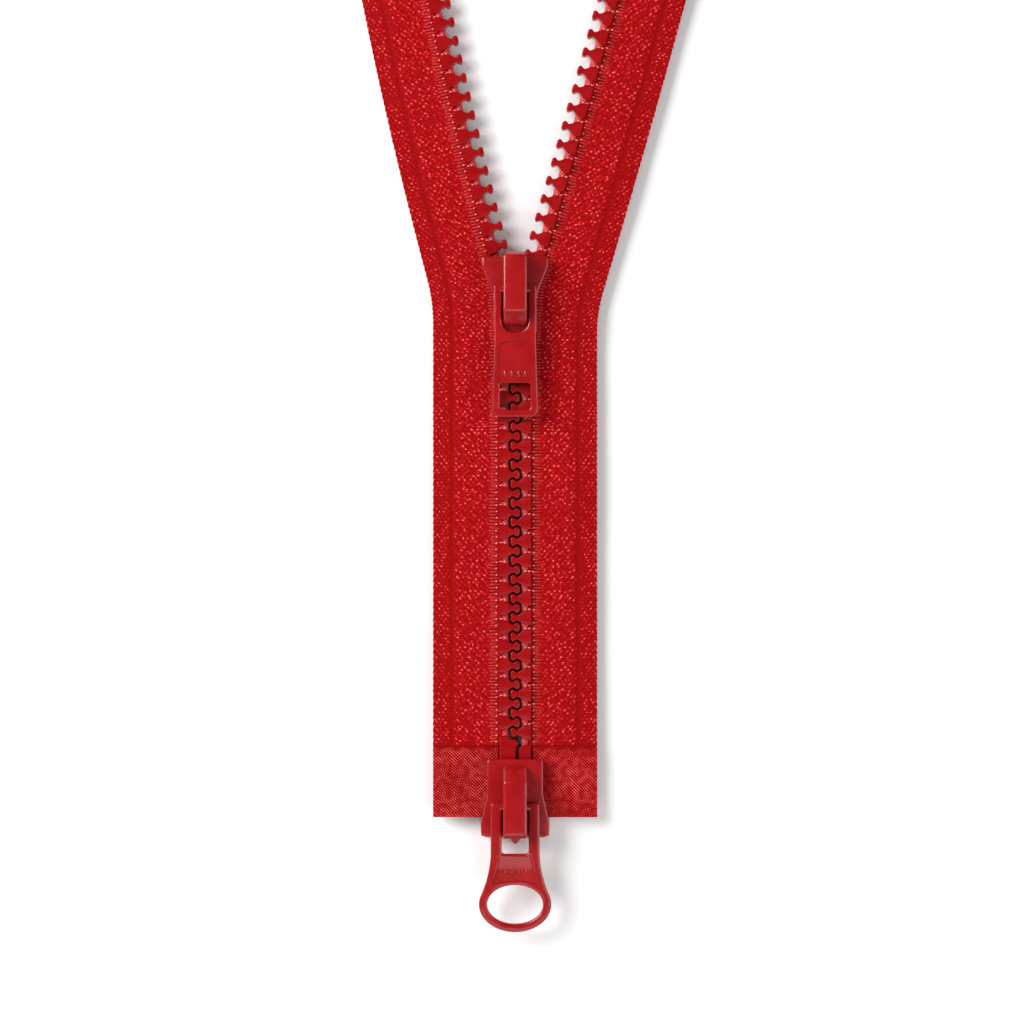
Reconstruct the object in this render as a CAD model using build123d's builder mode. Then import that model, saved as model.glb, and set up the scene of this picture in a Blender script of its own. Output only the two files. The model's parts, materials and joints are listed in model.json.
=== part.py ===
"""A two-way separating zipper with moulded teeth, as separate pieces at their real size.

Frame, in millimetres: the zipper lies flat on the plane z = 0 with its face up. +Y runs along the
closed chain from the lower slider to the upper one, X = 0 is the centre of the chain, and the origin
is the middle of the lower slider's flat underside.

The upper slider stands at the corner where the closed chain parts into two open legs. Each half of
the chain is cut into four stretches, so that it can bend where a real tape bends: end (with the pin,
inside the lower slider), mid (always closed), run (closed at rest, opened by the upper slider) and
leg (open at rest).
"""
import os
from math import cos, degrees, radians, sin, tan

from build123d import *

os.makedirs("parts", exist_ok=True)

# ---- driving dimensions -------------------------------------------------------------------------
pitch = 3.675                # along one row, tooth to tooth
first_tooth_y = 12.55        # lowest tooth of the right row; the left row is half a pitch higher
closed_teeth = 23            # teeth of each row below the corner
leg_teeth = 20               # teeth of each row on its open leg
travel_teeth = 12            # pitches that the upper slider can travel down

chain_z = 2.65               # middle plane of the tapes and the teeth
tape_half_width = 15.8       # from the chain's centre to the tape's outer edge
tape_thickness = 0.6
margin_start = 8.0           # the plain sewing margin begins here
margin_thickness = 0.5
tape_end_y = -3.85           # cut lower edge of both tapes
film_top_y = 10.0            # the stiffening film ends here
film_thickness = 0.12
film_start = 3.3

bead_x = 1.85                # the cord that the teeth grip, from the chain's centre
cord_radius = 0.7
cord_hole_radius = 0.72      # in the teeth, stops and pins
tooth_thickness = 2.6
tooth_outer = 3.07
block_start = 1.72
block_half = 1.34
neck_half = 0.47
head_half = 0.88
head_reach = 0.86            # a head crosses the centre by this much
edge_bevel = 0.6

end_joint_y = 10.7           # the right row's end stretch swings here, the left's half a pitch higher
corner_y = 95.25             # the right row turns outwards here, the left's half a pitch higher
run_start_y = corner_y - travel_teeth * pitch
leg_angle = {"left": 14.6, "right": 16.4}
leg_straight = 14.0
leg_curve_radius = {"left": 800.0, "right": 2200.0}
leg_length = 92.0
joint_gap = 0.02             # left between two stretches of one tape

# A slider is measured from its own middle, with y towards its wide end.
upper_slider_y = 96.5
slider_length = 15.0
slider_corners = {           # of a plate's outline: half width, y and rounding
    "upper": [(6.40, 7.5, 0.5), (6.35, 5.6, 2.0), (4.25, 0.2, 3.0), (4.20, -7.5, 0.8)],
    "lower": [(6.60, 7.5, 1.1), (6.60, 4.6, 2.0), (5.40, -0.8, 3.0), (5.40, -7.5, 0.6)],
}
nose_half = 1.25             # a small point in the middle of the wide end
nose_y = {"upper": 8.1, "lower": 9.1}
nose_rounding = 0.5
plate = 1.1
plate_bevel = 0.35
channel_height = 3.1
channel_narrow = 3.4         # half widths of the channel that the teeth run in
channel_wide = 5.9
channel_parts_y = -0.6       # it widens from here on
rail_height = 0.9
divider_tip_y = 5.2
divider_tip_half = 0.12
divider_half = 0.7

crown_half = 2.25            # the cover over the lock
crown_front = {"upper": -5.75, "lower": -6.2}
crown_back = {"upper": 8.2, "lower": 7.4}
crown_top = 9.4
crown_wall = 0.6
crown_roof = 0.6
crown_rounding = 0.6
crown_bevel = 0.45
front_slope = 2.65           # how far the front of the cover leans back
back_slope = 0.9
back_wall = 1.6
lug_height = 2.4             # the front lug that the cover is pressed over
lug_y = -3.1
lug_length = 0.9
post_length = 1.3            # the back lug, which also carries the leaf spring
post_from_back = 2.3         # from the back of the cover to the middle of the back lug
lug_clearance = 0.05

pivot_y = {"upper": 1.1, "lower": 1.5}
bar_radius = 0.75
bar_clearance = 0.08
bar_root = 0.4               # how far the bar runs into each arm
top_face = plate + channel_height + plate
pivot_z = top_face + 0.5 + bar_radius
leaf_half = 1.1
leaf_thickness = 0.3
leaf_z = pivot_z + bar_radius + 0.1
leaf_from_back = 1.8
pawl_y = -2.0
pawl_z = chain_z + tooth_thickness / 2 + 0.1
pawl_slot = 1.2

pull_thickness = 1.3
pull_bevel = 0.2
pull_window = 2.58           # half width of the opening between the two arms
pull_tilt = {"upper": 3.0, "lower": 4.8}
panel_depth = 0.25           # of the sunk panels on both faces
grip_bar = (0.5, 1.5)        # raised bars inside the panels, width and length
grip_bars = 4
grip_spacing = 1.3
grip_height = 0.2

sides = {"left": -1, "right": 1}


def row_offset(side):
    """How far the left row's teeth stand above the right row's."""
    return pitch / 2 if side == "left" else 0.0


def save(piece, name):
    """Label a finished piece and write it."""
    piece.part.label = name
    export_step(piece.part, f"parts/{name}.step")


# ---- places along one half of the chain ---------------------------------------------------------
def leg_turn(side, along):
    """Degrees that the leg leans outwards, a distance along it from the corner."""
    curved = max(along - leg_straight, 0.0)
    return leg_angle[side] - degrees(curved / leg_curve_radius[side])


def leg_point(side, along, out):
    """A point on the leg: along it from the corner, and outwards from the centre line of its row."""
    start = radians(leg_angle[side])
    straight = min(along, leg_straight)
    turn = radians(leg_turn(side, along))
    radius = leg_curve_radius[side]
    x = straight * sin(start) + radius * (cos(turn) - cos(start)) + out * cos(turn)
    y = straight * cos(start) + radius * (sin(start) - sin(turn)) - out * sin(turn)
    return (sides[side] * (bead_x + x), corner_y + row_offset(side) + y)


def tooth_plane(side, y):
    """Where a closed tooth stands: x outwards from its bead, z up for right and down for left."""
    return Plane((sides[side] * bead_x, y, chain_z), x_dir=(sides[side], 0, 0), z_dir=(0, 0, sides[side]))


def leg_plane(side, along):
    """The same for a tooth on the open leg."""
    x, y = leg_point(side, along, 0)
    turn = radians(leg_turn(side, along))
    outwards = (sides[side] * cos(turn), -sin(turn), 0)
    return Plane((x, y, chain_z), x_dir=outwards, z_dir=(0, 0, sides[side]))


# ---- one tooth, its cord hole and its slot for the tape -------------------------------------------
tooth_profile = [
    (tooth_outer, block_half),
    (block_start, block_half),
    (0.66, 0.56),
    (0.32, neck_half),
    (-0.20, head_half - 0.04),
    (-0.60, head_half),
    (-head_reach, 0.46),
]
lower_profile = [(x, -y) for x, y in reversed(tooth_profile)]

with BuildPart() as tooth:
    with BuildSketch(Plane.XY.offset(-tooth_thickness / 2)):
        with BuildLine():
            Polyline([(x - bead_x, y) for x, y in tooth_profile + lower_profile], close=True)
        make_face()
        fillet(vertices().group_by(Axis.X)[0], 0.25)
    extrude(amount=tooth_thickness)
    outer_edges = edges().filter_by(Axis.Y).group_by(Axis.X)[-1]
    chamfer(outer_edges, edge_bevel)
    with BuildSketch(Plane.XZ):
        Circle(cord_hole_radius)
        with Locations((tooth_outer / 2, 0)):
            Rectangle(tooth_outer, tape_thickness)
    extrude(amount=block_half + 0.1, both=True, mode=Mode.SUBTRACT)


def teeth(name, planes):
    """A stretch of one row: the same tooth on each plane, as separate solids of one node."""
    with BuildPart() as row:
        for plane in planes:
            add(plane.location * tooth.part)
    save(row, name)


def closed_planes(side, low, high):
    """Planes of the closed teeth of one row that stand between two heights."""
    heights = [first_tooth_y + row_offset(side) + n * pitch for n in range(closed_teeth)]
    return [tooth_plane(side, y) for y in heights if low <= y < high]


def first_leg_tooth(side):
    """Distance from the corner to the lowest tooth of the leg."""
    return first_tooth_y + closed_teeth * pitch - corner_y


def cuts(side):
    """Heights where one half of the chain is cut: end to mid, mid to run, run to leg."""
    return [y + row_offset(side) for y in (end_joint_y, run_start_y, corner_y)]


for side in sides:
    end_cut, run_cut, corner_cut = cuts(side)
    teeth(f"{side}_teeth_mid", closed_planes(side, end_cut, run_cut))
    teeth(f"{side}_teeth_run", closed_planes(side, run_cut, corner_cut))
    along = [first_leg_tooth(side) + n * pitch for n in range(leg_teeth)]
    teeth(f"{side}_teeth_leg", [leg_plane(side, distance) for distance in along])


# ---- cords ----------------------------------------------------------------------------------------
def cord(name, side, low, high):
    """A straight stretch of the bead cord."""
    with BuildPart() as stretch:
        with BuildSketch(Plane((sides[side] * bead_x, low, chain_z), x_dir=(1, 0, 0), z_dir=(0, 1, 0))):
            Circle(cord_radius)
        extrude(amount=high - low)
    save(stretch, name)


def leg_cord(name, side):
    """The cord of an open leg, straight and then in one long arc."""
    start = cord_radius * tan(radians(leg_angle[side]) / 2) + joint_gap
    points = [leg_point(side, d, 0) for d in (start, leg_straight)]
    bend = [leg_point(side, d, 0) for d in (leg_straight, (leg_straight + leg_length) / 2, leg_length)]
    with BuildPart() as stretch:
        with BuildLine(Plane.XY.offset(chain_z)) as route:
            Line(*points)
            ThreePointArc(*bend)
        with BuildSketch(Plane(route.line @ 0, z_dir=route.line % 0)):
            Circle(cord_radius)
        sweep(path=route.line)
    save(stretch, name)


for side in sides:
    mitre = cord_radius * tan(radians(leg_angle[side]) / 2)
    end_cut, run_cut, corner_cut = cuts(side)
    cord(f"{side}_cord_end", side, tape_end_y, end_cut - joint_gap)
    cord(f"{side}_cord_mid", side, end_cut, run_cut - joint_gap)
    cord(f"{side}_cord_run", side, run_cut, corner_cut - mitre)
    leg_cord(f"{side}_cord_leg", side)


# ---- tapes ----------------------------------------------------------------------------------------
tape_inner = cord_radius
tape_middle = margin_start - bead_x
tape_outer = tape_half_width - bead_x


def tape(name, side, low, high, slope=0.0):
    """A straight stretch of tape; its upper edge falls outwards by slope."""
    with BuildPart() as cloth:
        for inner, outer, thickness in (
            (tape_inner, tape_middle, tape_thickness),
            (tape_middle, tape_outer, margin_thickness),
        ):
            corners = [
                (sides[side] * (bead_x + inner), low),
                (sides[side] * (bead_x + outer), low),
                (sides[side] * (bead_x + outer), high - outer * slope),
                (sides[side] * (bead_x + inner), high - inner * slope),
            ]
            with BuildSketch(Plane.XY.offset(chain_z - thickness / 2)):
                with BuildLine():
                    Polyline(corners, close=True)
                make_face()
            extrude(amount=thickness)
    save(cloth, name)


def leg_tape(name, side):
    """The tape of an open leg, mitred at the corner to meet the closed stretch."""
    slope = tan(radians(leg_angle[side]) / 2)
    with BuildPart() as cloth:
        for inner, outer, thickness in (
            (tape_inner, tape_middle, tape_thickness),
            (tape_middle, tape_outer, margin_thickness),
        ):
            edges_along = []
            for out in (inner, outer):
                start = leg_point(side, out * slope + joint_gap, out)
                straight_end = leg_point(side, leg_straight, out)
                middle = leg_point(side, (leg_straight + leg_length) / 2, out)
                edges_along.append((start, straight_end, middle, leg_point(side, leg_length, out)))
            near, far = edges_along
            with BuildSketch(Plane.XY.offset(chain_z - thickness / 2)):
                with BuildLine():
                    Line(near[0], near[1])
                    ThreePointArc(*near[1:])
                    Line(near[3], far[3])
                    ThreePointArc(*reversed(far[1:]))
                    Line(far[1], far[0])
                    Line(far[0], near[0])
                make_face()
            extrude(amount=thickness)
    save(cloth, name)


def film(name, side, face):
    """The clear film that stiffens the cut end of a tape, on one of its faces; face is 1 or -1."""
    with BuildPart() as sheet:
        for inner, outer, thickness in (
            (film_start, margin_start, tape_thickness),
            (margin_start, tape_half_width, margin_thickness),
        ):
            middle = (sides[side] * (inner + outer) / 2, (tape_end_y + film_top_y) / 2)
            with BuildSketch(Plane.XY.offset(chain_z + face * thickness / 2)):
                with Locations(middle):
                    Rectangle(outer - inner, film_top_y - tape_end_y)
            extrude(amount=face * film_thickness)
    save(sheet, name)


for side in sides:
    end_cut, run_cut, corner_cut = cuts(side)
    tape(f"{side}_tape_end", side, tape_end_y, end_cut - joint_gap)
    tape(f"{side}_tape_mid", side, end_cut, run_cut - joint_gap)
    tape(f"{side}_tape_run", side, run_cut, corner_cut, tan(radians(leg_angle[side]) / 2))
    leg_tape(f"{side}_tape_leg", side)
    film(f"{side}_film_front", side, 1)
    film(f"{side}_film_back", side, -1)


# ---- top stops --------------------------------------------------------------------------------------
stop_length = 4.6
stop_inner = -1.1
stop_outer = 1.35


def top_stop(side):
    """A block moulded round the cord above the last tooth."""
    place = first_leg_tooth(side) + leg_teeth * pitch + 0.6
    with BuildPart() as stop:
        with BuildSketch(Plane.XY.offset(-tooth_thickness / 2)):
            with Locations(((stop_inner + stop_outer) / 2, 0)):
                RectangleRounded(stop_outer - stop_inner, stop_length, 0.5)
        extrude(amount=tooth_thickness)
        chamfer(faces().filter_by(Axis.Z).edges(), 0.3)
        with BuildSketch(Plane.XZ):
            Circle(cord_hole_radius)
            with Locations((stop_outer / 2 + 0.5, 0)):
                Rectangle(stop_outer + 1.0, tape_thickness)
        extrude(amount=stop_length, both=True, mode=Mode.SUBTRACT)
    with BuildPart() as placed:
        add(leg_plane(side, place).location * stop.part)
    save(placed, f"{side}_top_stop")


for side in sides:
    top_stop(side)

# ---- the two pins at the lower end ------------------------------------------------------------------
pin_bottom_y = -3.6
pin_outlines = {
    "left": [
        (-2.95, 11.9), (-1.25, 11.9), (-1.05, 11.25), (0.2, 11.1), (0.45, 10.8), (0.45, 10.0),
        (0.15, 9.5), (0.15, 6.0),
        (-0.1, pin_bottom_y), (-2.6, pin_bottom_y), (-2.65, 6.2), (-2.95, 7.0),
    ],
    "right": [
        (1.45, 10.1), (3.0, 10.1), (3.0, 6.6), (2.65, 6.0),
        (2.6, pin_bottom_y), (0.85, pin_bottom_y), (0.75, 6.0), (0.75, 9.5),
    ],
}
pin_names = {"left": "retaining_pin", "right": "insertion_pin"}


def end_pin(side):
    """A long pin moulded round the cord, in the place of the lowest teeth."""
    with BuildPart() as pin:
        with BuildSketch(Plane.XY.offset(chain_z - tooth_thickness / 2)):
            with BuildLine():
                Polyline(pin_outlines[side], close=True)
            make_face()
            fillet(vertices().group_by(Axis.Y)[0], 0.4)
        extrude(amount=tooth_thickness)
        chamfer(faces().filter_by(Axis.Z).edges(), 0.2)
        with BuildSketch(Plane.XZ):
            with Locations((sides[side] * bead_x, chain_z)):
                Circle(cord_hole_radius)
            with Locations((sides[side] * (bead_x + 1.5), chain_z)):
                Rectangle(3.0, tape_thickness)
        extrude(amount=pitch * 4, both=True, mode=Mode.SUBTRACT)
    save(pin, pin_names[side])


for side in sides:
    end_pin(side)


# ---- sliders ------------------------------------------------------------------------------------------
def mirrored(points):
    """A half outline and the same points on the other side of the centre, in order round the shape."""
    return points + [(-x, y) for x, y in reversed(points) if x > 0]


def plate_face(which):
    """Plan of a slider's plate: a small nose, shoulders and a narrower tail."""
    end = slider_length / 2
    half = [(0, nose_y[which]), (nose_half, end)]
    half += [(x, y) for x, y, rounding in slider_corners[which]]
    with BuildLine() as outline:
        Polyline(mirrored(half), close=True)
    make_face(outline.edges())
    for x, y, rounding in slider_corners[which]:
        fillet(vertices().filter_by(lambda v: abs(abs(v.X) - x) + abs(v.Y - y) < 0.01), rounding)
    fillet(vertices().group_by(Axis.Y)[-1], nose_rounding)


def channel_face():
    """Plan of the Y-shaped way that the two rows run through."""
    end = slider_length / 2
    slope = (channel_wide - channel_narrow) / (end - channel_parts_y)
    half = [
        (channel_wide + 2 * slope, end + 2),
        (channel_narrow, channel_parts_y),
        (channel_narrow, -end - 2),
    ]
    with BuildLine() as outline:
        Polyline(mirrored(half), close=True)
    make_face(outline.edges())


def slider_body(which, frame):
    """The casting: two plates, their side rails, the divider and the lugs under the crown."""
    upper_plate_z = plate + channel_height
    lug_width = 2 * (crown_half - crown_wall - lug_clearance)
    with BuildPart() as body:
        for level in (0, upper_plate_z):
            with BuildSketch(frame.offset(level)):
                plate_face(which)
            extrude(amount=plate)
        for level in (plate, upper_plate_z - rail_height):
            with BuildSketch(frame.offset(level)):
                plate_face(which)
                with BuildSketch(mode=Mode.SUBTRACT):
                    channel_face()
            extrude(amount=rail_height)
        levels = body.faces().filter_by(Axis.Z)
        rims = levels.sort_by(Axis.Z)[0].edges() + levels.sort_by(Axis.Z)[-1].edges()
        chamfer(rims, plate_bevel)
        with BuildSketch(frame.offset(plate)):
            with BuildLine():
                Polyline([
                    (divider_tip_half, divider_tip_y), (divider_half, slider_length / 2),
                    (-divider_half, slider_length / 2), (-divider_tip_half, divider_tip_y),
                ], close=True)
            make_face()
        extrude(amount=channel_height)
        with BuildSketch(frame.offset(top_face)):
            with Locations((0, lug_y)):
                Rectangle(lug_width, lug_length)
        extrude(amount=lug_height)
        with BuildSketch(frame.offset(top_face)):
            with Locations((0, crown_back[which] - post_from_back)):
                Rectangle(lug_width, post_length)
        extrude(amount=leaf_z - top_face - lug_clearance)
        with BuildSketch(frame.offset(upper_plate_z)):
            with Locations((0, pawl_y)):
                Rectangle(2 * leaf_half + 0.3, pawl_slot)
        extrude(amount=plate, mode=Mode.SUBTRACT)
    save(body, f"{which}_slider_body")


def side_view(frame):
    """The plane that looks along X through a slider's middle: x towards the wide end, y up."""
    return Plane(frame.origin, x_dir=frame.y_dir, z_dir=frame.x_dir)


def crown(which, frame):
    """The hollow cover over the lock, notched on both sides for the pull's bar."""
    side = side_view(frame)
    front = crown_front[which]
    back = crown_back[which]
    foot = top_face + 1.0
    with BuildPart() as cover:
        with BuildSketch(side):
            with BuildLine():
                Polyline([
                    (front, top_face), (front, foot), (front + front_slope, crown_top),
                    (back - back_slope, crown_top), (back, crown_top - 1.2), (back, foot),
                    (back - back_slope, top_face),
                ], close=True)
            make_face()
            fillet(vertices().filter_by(lambda v: v.Z > top_face + 0.5), crown_rounding)
        extrude(amount=crown_half, both=True)
        top_edges = cover.edges().filter_by(lambda e: e.center().Z > crown_top - 0.01)
        chamfer(top_edges.filter_by(Axis.Y), crown_bevel)
        with BuildSketch(side):
            with BuildLine():
                Polyline([
                    (-3.6, top_face), (-3.6, 7.8), (-3.0, crown_top - crown_roof),
                    (back - back_wall, crown_top - crown_roof), (back - back_wall, top_face),
                ], close=True)
            make_face()
        extrude(amount=crown_half - crown_wall, both=True, mode=Mode.SUBTRACT)
        with BuildSketch(side):
            with Locations((pivot_y[which], pivot_z)):
                Circle(bar_radius + bar_clearance)
            with Locations((pivot_y[which], (top_face + pivot_z) / 2)):
                Rectangle(2 * (bar_radius + bar_clearance), pivot_z - top_face)
        extrude(amount=crown_half, both=True, mode=Mode.SUBTRACT)
    save(cover, f"{which}_crown")


def lock_spring(which, frame):
    """A leaf that reaches from the back lug over the pull's bar and turns down as the locking pawl."""
    back = crown_back[which] - leaf_from_back
    with BuildPart() as leaf:
        with BuildSketch(side_view(frame)):
            with BuildLine():
                Polyline([
                    (back, leaf_z), (back, leaf_z + leaf_thickness), (pawl_y, leaf_z + leaf_thickness),
                    (pawl_y, pawl_z), (pawl_y + leaf_thickness, pawl_z),
                    (pawl_y + leaf_thickness, leaf_z),
                ], close=True)
            make_face()
        extrude(amount=leaf_half, both=True)
    save(leaf, f"{which}_lock_spring")


# ---- pulls --------------------------------------------------------------------------------------------
def pull_plane(which, frame):
    """The pull's middle plane: its bar at the origin and y away from its free end."""
    pivot = frame.from_local_coords((0, pivot_y[which], pivot_z))
    lean = radians(pull_tilt[which])
    return Plane(pivot, x_dir=(1, 0, 0), z_dir=(0, -sin(lean), cos(lean)))


def window_face(bottom, rounding):
    """The opening between a pull's two arms; the round bar crosses its upper end."""
    with BuildLine() as outline:
        Polyline([
            (pull_window, bar_radius), (pull_window, bottom),
            (-pull_window, bottom), (-pull_window, bar_radius),
        ], close=True)
    make_face(outline.edges())
    fillet(vertices().group_by(Axis.Y)[0], rounding)


def grip_pattern(mid, y):
    """A row of plain raised bars in the sunk panel of each face."""
    for level in (pull_thickness / 2 - panel_depth, panel_depth - pull_thickness / 2 - grip_height):
        with BuildSketch(mid.offset(level)) as bars:
            with Locations((0, y)):
                with GridLocations(grip_spacing, 0, grip_bars, 1):
                    Rectangle(*grip_bar)
        extrude(bars.sketch, amount=grip_height)


def pull_bar(mid):
    """The round bar that a pull turns on."""
    with BuildSketch(Plane(mid.origin, x_dir=mid.y_dir, z_dir=mid.x_dir)) as round_end:
        Circle(bar_radius)
    extrude(round_end.sketch, amount=pull_window + bar_root, both=True)


def upper_pull(frame):
    """A long flat tab with a slot near its end and a sunk panel on both faces."""
    mid = pull_plane("upper", frame)
    end = -24.45
    panel_low = -17.6
    panel_high = -10.6
    panel_arch = -9.9
    panel_half = 3.1
    with BuildPart() as pull:
        with BuildSketch(mid.offset(-pull_thickness / 2)):
            with BuildLine():
                Polyline([(4.1, bar_radius), (4.45, end), (-4.45, end), (-4.1, bar_radius)], close=True)
            make_face()
            fillet(vertices().group_by(Axis.Y)[0], 1.3)
            with BuildSketch(mode=Mode.SUBTRACT):
                window_face(-8.2, 2.1)
            with BuildSketch(mode=Mode.SUBTRACT):
                with Locations((0, -20.5)):
                    RectangleRounded(5.85, 5.1, 0.5)
        extrude(amount=pull_thickness)
        chamfer(pull.faces().filter_by(lambda f: abs(f.normal_at().Z) > 0.9).edges(), pull_bevel)
        for level in (pull_thickness / 2 - panel_depth, -pull_thickness / 2):
            with BuildSketch(mid.offset(level)):
                with BuildLine():
                    Line((-panel_half, panel_low), (panel_half, panel_low))
                    Line((panel_half, panel_low), (panel_half, panel_high))
                    ThreePointArc((panel_half, panel_high), (0, panel_arch), (-panel_half, panel_high))
                    Line((-panel_half, panel_high), (-panel_half, panel_low))
                make_face()
            extrude(amount=panel_depth, mode=Mode.SUBTRACT)
        grip_pattern(mid, -16.3)
        pull_bar(mid)
    save(pull, "upper_pull")


def lower_pull(frame):
    """A ring pull: two arms that widen into an oval finger ring, with a sunk web between them."""
    mid = pull_plane("lower", frame)
    ring_y = -18.9
    arm_half = 4.7
    flare_low = (6.52, -17.0)
    flare_middle = (5.28, -13.3)
    flare_high = (arm_half, -9.2)
    with BuildPart() as pull:
        with BuildSketch(mid.offset(-pull_thickness / 2)):
            with BuildLine():
                Line((-arm_half, bar_radius), (arm_half, bar_radius))
                Line((arm_half, bar_radius), flare_high)
                ThreePointArc(flare_high, flare_middle, flare_low)
                Line(flare_low, (-flare_low[0], flare_low[1]))
                ThreePointArc(*[(-x, y) for x, y in (flare_low, flare_middle, flare_high)])
                Line((-arm_half, flare_high[1]), (-arm_half, bar_radius))
            make_face()
            with Locations((0, ring_y)):
                Ellipse(6.97, 5.4)
            with BuildSketch(mode=Mode.SUBTRACT):
                window_face(-9.1, 0.6)
            with BuildSketch(mode=Mode.SUBTRACT):
                with Locations((0, ring_y)):
                    Ellipse(5.35, 3.8)
        extrude(amount=pull_thickness)
        chamfer(pull.faces().filter_by(lambda f: abs(f.normal_at().Z) > 0.9).edges(), pull_bevel)
        web = [(2.9, -9.4), (3.5, -12.5), (4.5, -15.0), (4.2, -16.4)]
        for level in (pull_thickness / 2 - panel_depth, -pull_thickness / 2):
            with BuildSketch(mid.offset(level)):
                with BuildLine():
                    Polyline(mirrored(web), close=True)
                make_face()
            extrude(amount=panel_depth, mode=Mode.SUBTRACT)
        grip_pattern(mid, -12.9)
        pull_bar(mid)
    save(pull, "lower_pull")


slider_frames = {
    "upper": Plane((0, upper_slider_y, 0), x_dir=(1, 0, 0), z_dir=(0, 0, 1)),
    "lower": Plane((0, 0, 0), x_dir=(-1, 0, 0), z_dir=(0, 0, 1)),
}
for which, frame in slider_frames.items():
    slider_body(which, frame)
    crown(which, frame)
    lock_spring(which, frame)
upper_pull(slider_frames["upper"])
lower_pull(slider_frames["lower"])
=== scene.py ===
# %% [markdown]
# # A two-way separating zipper
# The real object is two woven tapes, a row of teeth moulded onto a cord at the edge of each, and
# two painted die-cast sliders that close or part the rows. The fixed model brings every hard part
# at its true size. This lesson dresses it: it lays real cloth where the plain tapes are, softens
# the castings' edges and gives each piece the finish of the material it is made of.

# %% Load the fixed model
import json
from math import pi, radians

import bpy
import numpy as np
from mathutils import Matrix, Vector


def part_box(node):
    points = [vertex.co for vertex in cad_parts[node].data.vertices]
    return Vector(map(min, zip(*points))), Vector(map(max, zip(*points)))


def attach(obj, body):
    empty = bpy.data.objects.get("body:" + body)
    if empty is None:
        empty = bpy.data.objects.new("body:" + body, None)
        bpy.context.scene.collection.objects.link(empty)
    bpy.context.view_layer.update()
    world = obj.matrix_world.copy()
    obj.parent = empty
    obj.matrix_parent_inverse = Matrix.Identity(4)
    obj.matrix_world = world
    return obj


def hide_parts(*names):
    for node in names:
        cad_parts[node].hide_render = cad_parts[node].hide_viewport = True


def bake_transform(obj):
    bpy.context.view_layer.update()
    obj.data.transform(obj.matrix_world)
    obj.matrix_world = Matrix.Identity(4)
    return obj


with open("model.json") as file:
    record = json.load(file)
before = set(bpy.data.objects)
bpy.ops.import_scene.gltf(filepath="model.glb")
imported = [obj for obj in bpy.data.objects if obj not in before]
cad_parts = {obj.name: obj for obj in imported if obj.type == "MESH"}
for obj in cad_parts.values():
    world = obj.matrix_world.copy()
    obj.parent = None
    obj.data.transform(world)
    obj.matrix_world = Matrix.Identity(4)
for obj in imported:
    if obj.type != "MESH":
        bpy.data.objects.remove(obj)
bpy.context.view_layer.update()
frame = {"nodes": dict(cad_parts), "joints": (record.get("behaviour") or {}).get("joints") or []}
MM = 0.001
SIDES = {"left": -1, "right": 1}
joints = {joint["name"]: joint for joint in frame["joints"]}

# %% [markdown]
# ## Helpers for materials
# Colours are picked as sRGB hex values, the way a screen shows them, and Blender wants them linear.
# One small function adds a node, sets it and links it. A setting whose name is a socket's fills that
# socket, and any other is a setting of the node itself.

# %% Colour and node helpers
def linear(hex_colour):
    """An sRGB hex colour as the linear RGBA that a socket takes."""
    channels = [int(hex_colour[i:i + 2], 16) / 255 for i in (0, 2, 4)]
    curved = [c / 12.92 if c <= 0.04045 else ((c + 0.055) / 1.055) ** 2.4 for c in channels]
    return (*curved, 1.0)


def add_node(material, kind, links=None, **settings):
    """Add a node. links maps an input's name or number to the socket that feeds it."""
    node = material.node_tree.nodes.new(kind)
    for name, value in settings.items():
        socket = name.replace("_", " ").title() if name[0].islower() else name
        if socket in node.inputs and not hasattr(node, name):
            node.inputs[socket].default_value = value
        else:
            setattr(node, name, value)
    for target, source in (links or {}).items():
        material.node_tree.links.new(source, node.inputs[target])
    return node


def new_material(name):
    """An empty node material and its output node."""
    material = bpy.data.materials.new(name)
    material.use_nodes = True
    material.node_tree.nodes.clear()
    output = material.node_tree.nodes.new("ShaderNodeOutputMaterial")
    return material, output


def finish(material, output, shader):
    """Join the shader to the output."""
    material.node_tree.links.new(shader.outputs[0], output.inputs["Surface"])
    return material
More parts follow.
